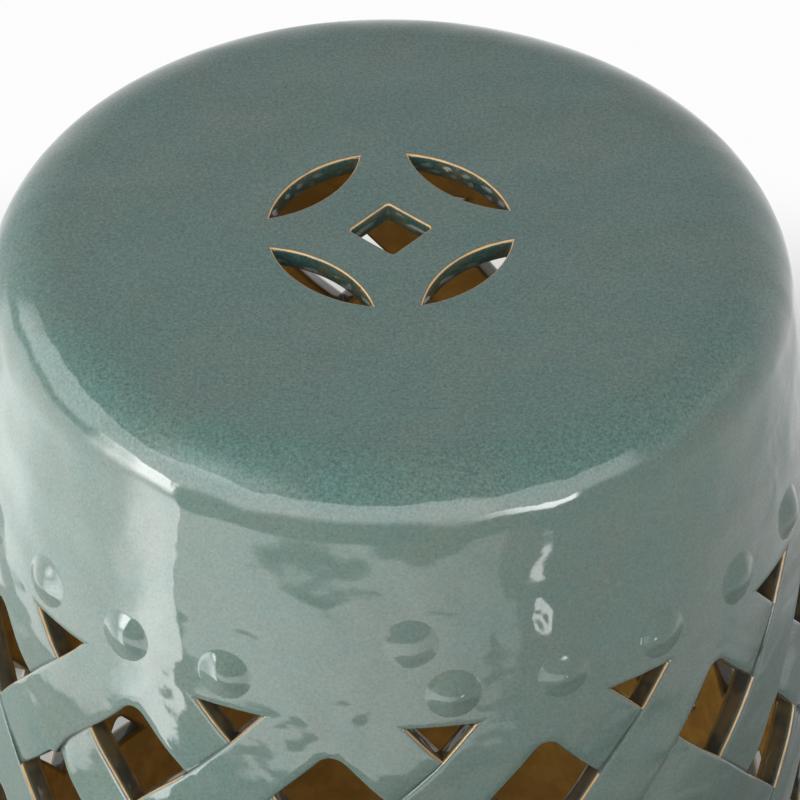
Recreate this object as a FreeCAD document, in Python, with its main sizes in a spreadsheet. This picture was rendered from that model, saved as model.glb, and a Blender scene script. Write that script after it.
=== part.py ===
import FreeCAD, Part
import math
import os

import Sketcher

# Ceramic garden stool: a hollow barrel of glazed clay, open underneath.
# The frame has +Z up and its origin at the centre of the foot, and -Y is the side in the photograph.
# The wall is a circle arc turned about Z, bulging at half height. The shoulder and the base round
# are smaller arcs that meet it tangentially, so every piece of the wall shares one profile.

Vector = FreeCAD.Vector
doc = FreeCAD.newDocument("garden_stool")

# Driving sizes, in millimetres, degrees and counts
SIZES = {
    "overall_height": 457.0,
    "belly_radius": 166.0,
    "wall_arc_radius": 1155.0,
    "wall_thickness": 9.0,
    "shoulder_radius": 28.5,
    "seat_thickness": 8.0,
    "collar_height": 100.0,
    "base_round": 5.0,
    "foot_height": 10.0,
    "foot_width": 13.0,
    "foot_edge": 2.0,
    "strap_pairs": 13,
    "strap_width": 28.0,
    "row_rise": 46.0,
    "weave_relief": 2.2,
    "lap_depth": 5.0,
    "lap_clearance": 0.1,
    "lattice_turn": 6.85,
    "coin_radius": 44.6,
    "petal_width": 14.6,
    "coin_square": 20.8,
    "coin_turn": 3.6,
    "boss_count": 24,
    "boss_width": 16.0,
    "boss_rise": 3.4,
    "boss_setback": 14.8,
    "upper_boss_turn": 8.4,
    "lower_boss_turn": 0.9,
}

sheet = doc.addObject("Spreadsheet::Sheet", "Sizes")
for row, (alias, value) in enumerate(SIZES.items(), start=1):
    sheet.set("A%d" % row, alias)
    sheet.set("B%d" % row, str(value))
    sheet.setAlias("B%d" % row, alias)
doc.recompute()

# Distances from the axis where the shoulder and the base round end and the flat faces begin.
# Both come from an arc lying tangentially inside the wall arc.
ARC_CENTRE = "(Sizes.belly_radius - Sizes.wall_arc_radius)"
SEAT_EDGE = (
    ARC_CENTRE + " + sqrt((Sizes.wall_arc_radius - Sizes.shoulder_radius)^2"
    " - (Sizes.overall_height / 2 - Sizes.shoulder_radius)^2)"
)
BASE_EDGE = (
    ARC_CENTRE + " + sqrt((Sizes.wall_arc_radius - Sizes.base_round)^2"
    " - (Sizes.overall_height / 2 - Sizes.foot_height - Sizes.base_round)^2)"
)
LATTICE_TOP = "Sizes.overall_height - Sizes.collar_height"
LATTICE_BASE = "Sizes.collar_height"


def size(alias):
    """A driving size read from the sheet."""
    return float(sheet.get(alias))


def origin_feature(body, role):
    """The plane or axis of a body's own origin that has this role."""
    for feature in body.Origin.OriginFeatures:
        if feature.Role == role:
            return feature
    raise RuntimeError("no " + role + " in " + body.Label)


def new_body(name):
    body = doc.addObject("PartDesign::Body", name)
    body.Label = name
    body.AllowCompound = True
    return body


def new_sketch(body, name, plane):
    sketch = body.newObject("Sketcher::SketchObject", name)
    sketch.AttachmentSupport = (origin_feature(body, plane), [""])
    sketch.MapMode = "FlatFace"
    return sketch


def dimension(sketch, name, expression, *constraint):
    """A named sketch dimension that follows an expression of the sheet."""
    index = sketch.addConstraint(Sketcher.Constraint(*constraint))
    sketch.renameConstraint(index, name)
    sketch.setExpression("Constraints." + name, expression)


def arc_of(centre, radius, start, end):
    circle = Part.Circle(centre, Vector(0, 0, 1), radius)
    return Part.ArcOfCircle(circle, start, end)


def turn_about_z(body, degrees_expression):
    body.Placement = FreeCAD.Placement(Vector(), FreeCAD.Rotation(Vector(0, 0, 1), 0))
    body.setExpression("Placement.Rotation.Angle", degrees_expression)


# Wall profile as plain numbers, for the first guess of the sketches and for the straps
def wall_radius(z):
    """Distance from the axis to the outside of the wall at a height."""
    reach = size("wall_arc_radius")
    return size("belly_radius") - reach + math.sqrt(reach**2 - (z - size("overall_height") / 2) ** 2)


def flat_edge(corner_radius, drop):
    """Distance from the axis where a corner arc ends, its centre being drop from half height."""
    reach = size("wall_arc_radius")
    return size("belly_radius") - reach + math.sqrt((reach - corner_radius) ** 2 - drop**2)


# Seat: a round slab pierced with the coin pattern
def petal_sketch(body):
    """One lens petal on the body's X axis, between two equal circles."""
    sketch = new_sketch(body, "PetalSketch", "XY_Plane")
    coin = size("coin_radius")
    spread = 2 * coin - size("petal_width")
    half = math.acos(spread / 2 / coin)
    outer = sketch.addGeometry(arc_of(Vector(), coin, -half, half))
    inner = sketch.addGeometry(arc_of(Vector(spread, 0, 0), coin, math.pi - half, math.pi + half))
    sketch.addConstraint(Sketcher.Constraint("Coincident", outer, 3, -1, 1))
    sketch.addConstraint(Sketcher.Constraint("PointOnObject", inner, 3, -1))
    sketch.addConstraint(Sketcher.Constraint("Coincident", outer, 2, inner, 1))
    sketch.addConstraint(Sketcher.Constraint("Coincident", outer, 1, inner, 2))
    dimension(sketch, "OuterRadius", "Sizes.coin_radius", "Radius", outer, coin)
    dimension(sketch, "InnerRadius", "Sizes.coin_radius", "Radius", inner, coin)
    dimension(
        sketch, "Spread", "2 * Sizes.coin_radius - Sizes.petal_width", "DistanceX", -1, 1, inner, 3, spread
    )
    return sketch


def square_sketch(body):
    """The coin's square hole, centred on the axis."""
    sketch = new_sketch(body, "SquareSketch", "XY_Plane")
    half = size("coin_square") / 2
    corners = [Vector(half, half, 0), Vector(-half, half, 0), Vector(-half, -half, 0), Vector(half, -half, 0)]
    for index, corner in enumerate(corners):
        sketch.addGeometry(Part.LineSegment(corner, corners[(index + 1) % 4]))
    for index in range(4):
        sketch.addConstraint(Sketcher.Constraint("Coincident", index, 2, (index + 1) % 4, 1))
    for index in (0, 2):
        sketch.addConstraint(Sketcher.Constraint("Horizontal", index))
        sketch.addConstraint(Sketcher.Constraint("Vertical", index + 1))
    sketch.addConstraint(Sketcher.Constraint("Equal", 0, 1))
    sketch.addConstraint(Sketcher.Constraint("Symmetric", 0, 1, 1, 2, -1, 1))
    dimension(sketch, "Side", "Sizes.coin_square", "DistanceX", 0, 2, 0, 1, 2 * half)
    return sketch


def through_pocket(body, name, sketch):
    pocket = body.newObject("PartDesign::Pocket", name)
    pocket.Profile = sketch
    pocket.Type = "ThroughAll"
    pocket.Midplane = True
    return pocket


def make_seat_slab():
    body = new_body("seat_slab")
    disc = new_sketch(body, "SlabSketch", "XY_Plane")
    radius = flat_edge(size("shoulder_radius"), size("overall_height") / 2 - size("shoulder_radius"))
    disc.addGeometry(Part.Circle(Vector(), Vector(0, 0, 1), radius))
    disc.addConstraint(Sketcher.Constraint("Coincident", 0, 3, -1, 1))
    dimension(disc, "Edge", SEAT_EDGE, "Radius", 0, radius)
    slab = body.newObject("PartDesign::Pad", "Slab")
    slab.Profile = disc
    slab.setExpression("Length", "Sizes.seat_thickness")
    through_pocket(body, "SquareHole", square_sketch(body))
    petal = through_pocket(body, "PetalHole", petal_sketch(body))
    petals = body.newObject("PartDesign::PolarPattern", "Petals")
    petals.Originals = [petal]
    petals.Axis = (origin_feature(body, "Z_Axis"), [""])
    petals.Angle = 360
    petals.Occurrences = 4
    body.Tip = petals
    # The petals lie on the diagonals, so the body's X axis is turned an eighth of a turn
    turn_about_z(body, "45 + Sizes.coin_turn")
    body.setExpression("Placement.Base.z", "Sizes.overall_height - Sizes.seat_thickness")
    return body


# Collars: the plain bands of wall above and below the lattice
def make_upper_collar():
    """Shoulder and band in one piece. Its section is six edges: seat joint, inner shoulder,
    inner wall, lattice face, outer wall, outer shoulder."""
    body = new_body("upper_collar")
    sketch = new_sketch(body, "CollarSketch", "XZ_Plane")
    height = size("overall_height")
    middle = height / 2
    round_radius = size("shoulder_radius")
    reach = size("wall_arc_radius")
    wall = size("wall_thickness")
    edge = flat_edge(round_radius, middle - round_radius)
    wall_centre = Vector(size("belly_radius") - reach, middle, 0)
    round_centre = Vector(edge, height - round_radius, 0)
    tangent = math.atan2(round_centre.y - wall_centre.y, round_centre.x - wall_centre.x)
    base = height - size("collar_height")
    outer_start = math.asin((base - middle) / reach)
    inner_start = math.asin((base - middle) / (reach - wall))
    inner_foot = wall_centre + Vector(math.cos(inner_start), math.sin(inner_start), 0) * (reach - wall)
    outer_foot = wall_centre + Vector(math.cos(outer_start), math.sin(outer_start), 0) * reach

    joint = sketch.addGeometry(Part.LineSegment(Vector(edge, height - wall, 0), Vector(edge, height, 0)))
    outer_round = sketch.addGeometry(arc_of(round_centre, round_radius, tangent, math.pi / 2))
    outer_wall = sketch.addGeometry(arc_of(wall_centre, reach, outer_start, tangent))
    lattice_face = sketch.addGeometry(Part.LineSegment(inner_foot, outer_foot))
    inner_wall = sketch.addGeometry(arc_of(wall_centre, reach - wall, inner_start, tangent))
    inner_round = sketch.addGeometry(arc_of(round_centre, round_radius - wall, tangent, math.pi / 2))

    sketch.addConstraint(Sketcher.Constraint("Vertical", joint))
    sketch.addConstraint(Sketcher.Constraint("Coincident", joint, 2, outer_round, 2))
    sketch.addConstraint(Sketcher.Constraint("Coincident", joint, 1, inner_round, 2))
    sketch.addConstraint(Sketcher.Constraint("Tangent", outer_round, 1, outer_wall, 2))
    sketch.addConstraint(Sketcher.Constraint("Tangent", inner_round, 1, inner_wall, 2))
    sketch.addConstraint(Sketcher.Constraint("Coincident", outer_wall, 1, lattice_face, 2))
    sketch.addConstraint(Sketcher.Constraint("Coincident", inner_wall, 1, lattice_face, 1))
    sketch.addConstraint(Sketcher.Constraint("Coincident", outer_round, 3, inner_round, 3))
    sketch.addConstraint(Sketcher.Constraint("Coincident", outer_wall, 3, inner_wall, 3))
    sketch.addConstraint(Sketcher.Constraint("Vertical", joint, 2, outer_round, 3))
    sketch.addConstraint(Sketcher.Constraint("Horizontal", lattice_face))
    add_wall_dimensions(sketch, outer_wall, lattice_face, outer_round, LATTICE_TOP, "Sizes.shoulder_radius")
    dimension(sketch, "SeatHeight", "Sizes.overall_height", "DistanceY", -1, 1, joint, 2, height)
    dimension(sketch, "Wall", "Sizes.wall_thickness", "DistanceY", joint, 1, joint, 2, wall)
    return revolve_about_z(body, sketch)


def add_wall_dimensions(sketch, outer_wall, lattice_face, corner, lattice_height, corner_radius):
    """The dimensions that both collars share: the wall arc, the lattice face and the corner arc."""
    reach = size("wall_arc_radius")
    inset = reach - size("belly_radius")
    face_height = sketch.Geometry[lattice_face].StartPoint.y
    rounding = sketch.Geometry[corner].Radius
    dimension(sketch, "WallArc", "Sizes.wall_arc_radius", "Radius", outer_wall, reach)
    dimension(
        sketch, "ArcInset", "Sizes.wall_arc_radius - Sizes.belly_radius",
        "DistanceX", outer_wall, 3, -1, 1, inset,
    )
    dimension(
        sketch, "ArcHeight", "Sizes.overall_height / 2",
        "DistanceY", -1, 1, outer_wall, 3, size("overall_height") / 2,
    )
    dimension(sketch, "LatticeFace", lattice_height, "DistanceY", -1, 1, lattice_face, 1, face_height)
    dimension(sketch, "Corner", corner_radius, "Radius", corner, rounding)


def revolve_about_z(body, sketch):
    turned = body.newObject("PartDesign::Revolution", "Turned")
    turned.Profile = sketch
    turned.ReferenceAxis = (sketch, ["V_Axis"])
    turned.Angle = 360
    return body


def make_lower_collar():
    """Band and base round in one piece, standing on the foot ring. Its section is five edges:
    lattice face, outer wall, base round, underside, inner wall."""
    body = new_body("lower_collar")
    sketch = new_sketch(body, "CollarSketch", "XZ_Plane")
    middle = size("overall_height") / 2
    round_radius = size("base_round")
    reach = size("wall_arc_radius")
    wall = size("wall_thickness")
    bottom = size("foot_height")
    top = size("collar_height")
    edge = flat_edge(round_radius, middle - bottom - round_radius)
    wall_centre = Vector(size("belly_radius") - reach, middle, 0)
    round_centre = Vector(edge, bottom + round_radius, 0)
    tangent = math.atan2(round_centre.y - wall_centre.y, round_centre.x - wall_centre.x)
    outer_end = math.asin((top - middle) / reach)
    inner_end = math.asin((top - middle) / (reach - wall))
    inner_start = math.asin((bottom - middle) / (reach - wall))
    inner_radius = reach - wall
    inner_top = wall_centre + Vector(math.cos(inner_end), math.sin(inner_end), 0) * inner_radius
    inner_bottom = wall_centre + Vector(math.cos(inner_start), math.sin(inner_start), 0) * inner_radius
    outer_top = wall_centre + Vector(math.cos(outer_end), math.sin(outer_end), 0) * reach

    lattice_face = sketch.addGeometry(Part.LineSegment(inner_top, outer_top))
    outer_wall = sketch.addGeometry(arc_of(wall_centre, reach, tangent, outer_end))
    outer_round = sketch.addGeometry(arc_of(round_centre, round_radius, -math.pi / 2, tangent))
    underside = sketch.addGeometry(Part.LineSegment(Vector(edge, bottom, 0), inner_bottom))
    inner_wall = sketch.addGeometry(arc_of(wall_centre, inner_radius, inner_start, inner_end))

    sketch.addConstraint(Sketcher.Constraint("Horizontal", lattice_face))
    sketch.addConstraint(Sketcher.Constraint("Horizontal", underside))
    sketch.addConstraint(Sketcher.Constraint("Coincident", lattice_face, 2, outer_wall, 2))
    sketch.addConstraint(Sketcher.Constraint("Coincident", lattice_face, 1, inner_wall, 2))
    sketch.addConstraint(Sketcher.Constraint("Tangent", outer_round, 2, outer_wall, 1))
    sketch.addConstraint(Sketcher.Constraint("Tangent", outer_round, 1, underside, 1))
    sketch.addConstraint(Sketcher.Constraint("Coincident", inner_wall, 1, underside, 2))
    sketch.addConstraint(Sketcher.Constraint("Coincident", outer_wall, 3, inner_wall, 3))
    add_wall_dimensions(sketch, outer_wall, lattice_face, outer_round, LATTICE_BASE, "Sizes.base_round")
    dimension(sketch, "Underside", "Sizes.foot_height", "DistanceY", -1, 1, underside, 1, bottom)
    dimension(
        sketch, "InnerArc", "Sizes.wall_arc_radius - Sizes.wall_thickness", "Radius", inner_wall, inner_radius
    )
    return revolve_about_z(body, sketch)


def make_foot_ring():
    """The ring under the lower collar, flush with the end of the base round."""
    body = new_body("foot_ring")
    sketch = new_sketch(body, "RingSketch", "XY_Plane")
    bottom_drop = size("overall_height") / 2 - size("foot_height") - size("base_round")
    outer = flat_edge(size("base_round"), bottom_drop)
    inner = outer - size("foot_width")
    for radius in (outer, inner):
        sketch.addGeometry(Part.Circle(Vector(), Vector(0, 0, 1), radius))
    for index in range(2):
        sketch.addConstraint(Sketcher.Constraint("Coincident", index, 3, -1, 1))
    dimension(sketch, "Outer", BASE_EDGE, "Radius", 0, outer)
    dimension(sketch, "Inner", BASE_EDGE + " - Sizes.foot_width", "Radius", 1, inner)
    ring = body.newObject("PartDesign::Pad", "Ring")
    ring.Profile = sketch
    ring.setExpression("Length", "Sizes.foot_height")
    doc.recompute()
    rims = []
    for index, edge in enumerate(ring.Shape.Edges, start=1):
        if edge.BoundBox.ZMax < 0.001:
            rims.append("Edge%d" % index)
    worn = body.newObject("PartDesign::Fillet", "WornEdge")
    worn.Base = (ring, rims)
    worn.setExpression("Radius", "Sizes.foot_edge")
    return body


# Bosses: low domes stuck on the wall in a row round each collar
def make_boss_row(name, height_expression, height, turn_cell):
    """A polar row of spheres whose centres lie inside the wall, cut back to the wall's face."""
    body = new_body(name)
    reach = size("wall_arc_radius")
    middle = size("overall_height") / 2
    ball = "((Sizes.boss_width / 2)^2 + Sizes.boss_rise^2) / (2 * Sizes.boss_rise)"
    centre_reach = "(Sizes.wall_arc_radius + Sizes.boss_rise - " + ball + ")"
    lift = "(" + height_expression + " - Sizes.overall_height / 2) / Sizes.wall_arc_radius"
    dome = body.newObject("PartDesign::AdditiveSphere", "Dome")
    dome.AttachmentSupport = (origin_feature(body, "XY_Plane"), [""])
    dome.MapMode = "FlatFace"
    dome.setExpression("Radius", ball)
    dome.setExpression(
        "AttachmentOffset.Base.x", ARC_CENTRE + " + " + centre_reach + " * sqrt(1 - (" + lift + ")^2)"
    )
    dome.setExpression("AttachmentOffset.Base.z", "Sizes.overall_height / 2 + " + centre_reach + " * " + lift)
    row = body.newObject("PartDesign::PolarPattern", "Row")
    row.Originals = [dome]
    row.Axis = (origin_feature(body, "Z_Axis"), [""])
    row.Angle = 360
    row.setExpression("Occurrences", "Sizes.boss_count")
    body.Tip = row
    doc.recompute()

    # Everything inside the wall's outer face, over more than a boss's height, is cut away
    sketch = new_sketch(body, "WallSketch", "XZ_Plane")
    span = size("boss_width")
    low = height - span
    high = height + span
    wall_centre = Vector(size("belly_radius") - reach, middle, 0)
    ends = [math.asin((z - middle) / reach) for z in (low, high)]
    points = [wall_centre + Vector(math.cos(angle), math.sin(angle), 0) * reach for angle in ends]
    face = sketch.addGeometry(arc_of(wall_centre, reach, ends[0], ends[1]))
    top = sketch.addGeometry(Part.LineSegment(points[1], Vector(0, high, 0)))
    axis = sketch.addGeometry(Part.LineSegment(Vector(0, high, 0), Vector(0, low, 0)))
    base = sketch.addGeometry(Part.LineSegment(Vector(0, low, 0), points[0]))
    sketch.addConstraint(Sketcher.Constraint("Coincident", face, 2, top, 1))
    sketch.addConstraint(Sketcher.Constraint("Coincident", top, 2, axis, 1))
    sketch.addConstraint(Sketcher.Constraint("Coincident", axis, 2, base, 1))
    sketch.addConstraint(Sketcher.Constraint("Coincident", base, 2, face, 1))
    sketch.addConstraint(Sketcher.Constraint("Horizontal", top))
    sketch.addConstraint(Sketcher.Constraint("Horizontal", base))
    sketch.addConstraint(Sketcher.Constraint("PointOnObject", top, 2, -2))
    sketch.addConstraint(Sketcher.Constraint("PointOnObject", base, 1, -2))
    dimension(sketch, "WallArc", "Sizes.wall_arc_radius", "Radius", face, reach)
    dimension(
        sketch, "ArcInset", "Sizes.wall_arc_radius - Sizes.belly_radius",
        "DistanceX", face, 3, -1, 1, reach - size("belly_radius"),
    )
    dimension(sketch, "ArcHeight", "Sizes.overall_height / 2", "DistanceY", -1, 1, face, 3, middle)
    dimension(sketch, "Low", height_expression + " - Sizes.boss_width", "DistanceY", -1, 1, base, 1, low)
    dimension(sketch, "High", height_expression + " + Sizes.boss_width", "DistanceY", -1, 1, top, 2, high)
    seats = body.newObject("PartDesign::Groove", "Seats")
    seats.Profile = sketch
    seats.ReferenceAxis = (sketch, ["V_Axis"])
    seats.Angle = 360
    body.Tip = seats
    turn_about_z(body, "Sizes.%s - 90" % turn_cell)
    return body


# Lattice: two families of straps that wind up the wall in opposite directions and lap at each crossing
class Lattice:
    """Sizes of the weave, worked out once from the sheet."""

    def __init__(self):
        self.middle = size("overall_height") / 2
        self.low = size("collar_height")
        self.high = size("overall_height") - size("collar_height")
        self.row = size("row_rise")
        self.step = self.row / SECTIONS_PER_ROW
        self.pairs = int(size("strap_pairs"))
        self.pitch = 2 * math.pi / self.pairs
        # A strap moves half a pitch round the wall while it climbs one row
        self.lead = self.pitch / 2 / self.row
        slope = math.atan(1 / (self.lead * size("belly_radius")))
        angular_width = size("strap_width") / math.sin(slope) / size("belly_radius")
        # Half a strap's width, as the height that the crossing strap climbs over it
        self.half_climb = angular_width / 4 / self.lead
        self.wall = size("wall_thickness")
        self.relief = size("weave_relief")
        self.lap = size("lap_depth")
        self.clearance = size("lap_clearance")
        reach = (self.high - self.middle + self.half_climb) / self.row
        self.last_crossing = int(math.floor(reach))
        self.whole_crossings = int(math.floor((self.high - self.middle - self.half_climb) / self.row))

    def dip(self, height, rising):
        """How far a strap has dipped under its crossings at a height: 0 on top, 1 underneath.

        Crossings are counted from half height. Straps that rise to the right go over the even ones.
        """
        deepest = 0.0
        for crossing in range(-self.whole_crossings, self.whole_crossings + 1):
            if self.is_over(crossing, rising):
                continue
            away = abs(height - self.middle - crossing * self.row) / self.row
            ramp = min(max((FLAT_SHARE - away) / RAMP_SHARE, 0.0), 1.0)
            deepest = max(deepest, ramp * ramp * (3 - 2 * ramp))
        return deepest

    @staticmethod
    def is_over(crossing, rising):
        return (crossing % 2 == 0) == (rising > 0)


# A dip is full up to (FLAT_SHARE - RAMP_SHARE) of a row from its crossing and gone at FLAT_SHARE
FLAT_SHARE = 0.85
RAMP_SHARE = 0.70
# Sections along each row of a strap, and the spare ones past the lattice or past a crossing
SECTIONS_PER_ROW = 4
SPARE_SECTIONS = 2
# How far a lap cutter reaches past the wall's faces
CUTTER_REACH = 5.0


def wall_point(radius, angle, z):
    return Vector(radius * math.cos(angle), radius * math.sin(angle), z)


def spline_edge(points):
    curve = Part.BSplineCurve()
    curve.interpolate(points)
    return curve.toShape()


def strap_section(lattice, rising, start, height, inner, outer, widen, flat):
    """Closed wire across a strap along the direction of the straps that cross it.

    inner and outer give the distance from the axis at a height. A flat section, used at the ends,
    has straight sides in one plane.
    """
    centre = start + rising * lattice.lead * (height - lattice.middle)
    climb = lattice.half_climb + widen

    def across(share, face):
        z = height + share * climb
        return wall_point(face(z), centre - rising * lattice.lead * share * climb, z)

    outside = [across(share, outer) for share in (-1, 0, 1)]
    inside = [across(share, inner) for share in (1, 0, -1)]
    if flat:
        outside[0] = outside[2] + inside[2] - inside[0]
        corners = [outside[0], outside[2], inside[0], inside[2], outside[0]]
        return Part.makePolygon(corners)
    edges = [
        spline_edge(outside),
        Part.makeLine(outside[2], inside[0]),
        spline_edge(inside),
        Part.makeLine(inside[2], outside[0]),
    ]
    return Part.Wire(edges)


def band(lattice, rising, start, heights, faces, widen=0.0):
    """Solid strap through sections at these heights. faces gives the inner and outer face there."""
    wires = []
    for index, height in enumerate(heights):
        inner, outer = faces(height)
        flat = index in (0, len(heights) - 1)
        wires.append(strap_section(lattice, rising, start, height, inner, outer, widen, flat))
    return Part.makeLoft(wires, True, False)


def lap_cutter(lattice, rising, start, crossing, over):
    """The share of a crossing that belongs to the other strap: the inner half where this one goes
    over, and the outer half where it goes under."""
    height = lattice.middle + crossing * lattice.row
    heights = [height + index * lattice.step for index in range(-SPARE_SECTIONS, SPARE_SECTIONS + 1)]
    if over:
        def inner(z):
            return wall_radius(z) - lattice.wall - CUTTER_REACH

        def outer(z):
            return wall_radius(z) - lattice.lap + lattice.clearance / 2
    else:
        def inner(z):
            return wall_radius(z) - lattice.lap - lattice.clearance / 2

        def outer(z):
            return wall_radius(z) + CUTTER_REACH

    other_start = start + 2 * rising * lattice.lead * crossing * lattice.row
    widen = lattice.clearance / 2 / size("strap_width") * 2 * lattice.half_climb
    return band(lattice, -rising, other_start, heights, lambda z0: (inner, outer), widen)


def strap_shape(lattice, rising):
    """The strap that passes angle 0 at half height. rising is 1 to the right and -1 to the left."""
    overhang = lattice.high - lattice.middle + lattice.half_climb
    reach = int(math.ceil(overhang / lattice.step)) + SPARE_SECTIONS
    heights = [lattice.middle + index * lattice.step for index in range(-reach, reach + 1)]

    def faces(height):
        sunk = lattice.relief * lattice.dip(height, rising)
        return (lambda z: wall_radius(z) - lattice.wall), (lambda z: wall_radius(z) - sunk)

    strap = band(lattice, rising, 0.0, heights, faces)
    width = 4 * size("belly_radius")
    corner = Vector(-width / 2, -width / 2, lattice.low)
    strap = strap.common(Part.makeBox(width, width, lattice.high - lattice.low, corner))
    for crossing in range(-lattice.last_crossing, lattice.last_crossing + 1):
        over = lattice.is_over(crossing, rising)
        strap = strap.cut(lap_cutter(lattice, rising, 0.0, crossing, over))
    return strap.Solids[0]


def make_straps(lattice, prefix, rising):
    """One strap for each pitch round the wall, all of one shape."""
    shape = strap_shape(lattice, rising)
    straps = []
    for index in range(lattice.pairs):
        name = "%s_strap_%02d" % (prefix, index + 1)
        strap = doc.addObject("Part::Feature", name)
        strap.Label = name
        strap.Shape = shape
        # A crossing of the first row below the collar stands under the triangle at lattice_turn
        turn = size("lattice_turn") - 90 + math.degrees(index * lattice.pitch)
        strap.Placement = FreeCAD.Placement(Vector(), FreeCAD.Rotation(Vector(0, 0, 1), turn))
        straps.append(strap)
    return straps


def make_all():
    upper_row = LATTICE_TOP + " + Sizes.boss_setback"
    lower_row = LATTICE_BASE + " - Sizes.boss_setback"
    upper_height = size("overall_height") - size("collar_height") + size("boss_setback")
    lower_height = size("collar_height") - size("boss_setback")
    pieces = [make_seat_slab(), make_upper_collar(), make_lower_collar(), make_foot_ring()]
    pieces.append(make_boss_row("upper_bosses", upper_row, upper_height, "upper_boss_turn"))
    pieces.append(make_boss_row("lower_bosses", lower_row, lower_height, "lower_boss_turn"))
    lattice = Lattice()
    pieces += make_straps(lattice, "right", 1)
    pieces += make_straps(lattice, "left", -1)
    return pieces


def check(pieces):
    for item in doc.Objects:
        if "Invalid" in item.State or "Error" in item.State:
            raise RuntimeError("failed: " + item.Label)
    for piece in pieces:
        if piece.Shape.isNull() or not piece.Shape.isValid() or piece.Shape.Volume <= 0:
            raise RuntimeError("bad shape: " + piece.Label)


pieces = make_all()
doc.recompute()
check(pieces)
os.makedirs("parts", exist_ok=True)
for piece in pieces:
    piece.Shape.exportStep("parts/" + piece.Label + ".step")
    print(piece.Label, len(piece.Shape.Solids), "solids", round(piece.Shape.Volume / 1000, 2), "cm3")
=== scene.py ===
import math

import bmesh
import bpy
from bpy.props import FloatProperty, FloatVectorProperty, IntProperty, PointerProperty
from mathutils import Matrix, Quaternion, Vector, noise


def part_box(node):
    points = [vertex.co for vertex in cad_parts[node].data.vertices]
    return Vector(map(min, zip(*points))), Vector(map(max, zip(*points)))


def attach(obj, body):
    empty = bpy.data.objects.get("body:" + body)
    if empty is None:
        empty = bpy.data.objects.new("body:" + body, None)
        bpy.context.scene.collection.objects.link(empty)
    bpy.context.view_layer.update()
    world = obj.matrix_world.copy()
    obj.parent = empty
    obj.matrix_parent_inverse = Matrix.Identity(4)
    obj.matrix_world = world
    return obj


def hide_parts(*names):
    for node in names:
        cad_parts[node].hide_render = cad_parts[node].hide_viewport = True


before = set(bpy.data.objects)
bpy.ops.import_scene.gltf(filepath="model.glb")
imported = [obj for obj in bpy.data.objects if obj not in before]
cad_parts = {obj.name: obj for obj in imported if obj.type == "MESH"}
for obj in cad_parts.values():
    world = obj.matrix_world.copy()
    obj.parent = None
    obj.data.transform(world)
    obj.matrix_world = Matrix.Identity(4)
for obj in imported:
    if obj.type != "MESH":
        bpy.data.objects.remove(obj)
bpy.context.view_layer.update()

bl_info = {
    "name": "Celadon garden stool",
    "version": (1, 0, 0),
    "blender": (4, 5, 0),
    "location": "View3D > Sidebar > Stool",
    "description": "Glazed garden stool with a woven openwork wall, over its packed clay parts",
    "category": "Object",
}

MM = 0.001
# Lengths that differ by less than this are taken as equal
TINY = 1e-5
BODY = "root"
GLAZE = "celadon glaze"
CLAY = "bare clay"

# Corners of the boxes round the solids that the dressed pieces follow
SEAT_LOW, SEAT_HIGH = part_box("seat_slab")
COLLAR_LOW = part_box("upper_collar")[0]
FOOT_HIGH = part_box("foot_ring")[1]
STRAPS = sorted(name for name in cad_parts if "_strap_" in name)


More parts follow.
